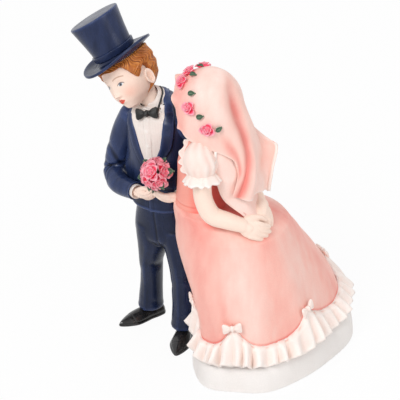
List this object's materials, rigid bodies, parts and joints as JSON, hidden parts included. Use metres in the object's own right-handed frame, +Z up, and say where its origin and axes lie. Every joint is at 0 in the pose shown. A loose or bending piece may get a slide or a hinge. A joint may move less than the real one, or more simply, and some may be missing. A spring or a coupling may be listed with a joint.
{
  "type": "wedding cake topper",
  "caption": "Cast resin cake topper of a couple: a groom in tuxedo and top hat with a rose bouquet beside a bride in a draped gown and veil, standing on the gown's flat foot.",
  "frame": {"origin": "middle of the gown's flat underside, on the surface that the topper stands on", "axes": "+Z up; the side shown to the guests looks along -Y, and the train sweeps to +X"},
  "size_m": [0.1189, 0.0807, 0.1471],
  "materials": {
    "suit": "polyresin, satin navy paint",
    "shoe": "polyresin, gloss black paint",
    "shirt": "polyresin, matt off-white paint",
    "trim": "polyresin, matt cream paint",
    "skin": "polyresin, matt peach paint",
    "hair": "polyresin, auburn paint",
    "gown": "polyresin, blush pink paint",
    "bodice": "polyresin, coral paint",
    "veil": "polyresin, pale pink paint",
    "rose": "polyresin, rose pink paint",
    "leaf": "polyresin, dark green paint"
  },
  "bodies": {
    "root": {"groom_head": "skin", "groom_hair": "hair", "groom_hat": "suit", "groom_hat_band": "suit", "groom_shoe_right": "shoe", "groom_shoe_left": "shoe", "groom_trousers": "suit", "groom_jacket": "suit", "groom_shirt_front": "shirt", "groom_lapel_right": "suit", "groom_lapel_left": "suit", "groom_sleeve_right": "suit", "groom_sleeve_left": "suit", "groom_shirt_cuff_right": "shirt", "groom_shirt_cuff_left": "shirt", "groom_hand_right": "skin", "groom_hand_left": "skin", "groom_shirt_collar": "shirt", "groom_bow_tie": "shoe", "bouquet_foliage": "leaf", "bouquet_rose_1": "rose", "bouquet_rose_2": "rose", "bouquet_rose_3": "rose", "bouquet_rose_4": "rose", "bouquet_rose_5": "rose", "bouquet_rose_6": "rose", "bouquet_rose_7": "rose", "gown_petticoat": "shirt", "gown_skirt": "gown", "gown_flounce": "trim", "gown_bow_1": "trim", "gown_bow_2": "trim", "gown_bow_3": "trim", "gown_bow_4": "trim", "gown_bow_5": "trim", "gown_bow_6": "trim", "gown_bodice": "bodice", "gown_puff_sleeve_left": "trim", "gown_puff_sleeve_right": "trim", "gown_sleeve_frill_left": "trim", "gown_sleeve_frill_right": "trim", "gown_armhole_frill_left": "trim", "gown_armhole_frill_right": "trim", "bride_head": "skin", "bride_hair": "hair", "bride_arm_left": "skin", "bride_arm_right": "skin", "bride_hand_left": "skin", "bride_hand_right": "skin", "bride_veil": "veil", "wreath_rose_1": "rose", "wreath_rose_2": "rose", "wreath_rose_3": "rose", "wreath_rose_4": "rose", "wreath_rose_5": "rose", "wreath_leaf_1": "leaf", "wreath_leaf_2": "leaf", "wreath_leaf_3": "leaf", "wreath_leaf_4": "leaf", "wreath_leaf_5": "leaf"}
  },
  "joints": []
}
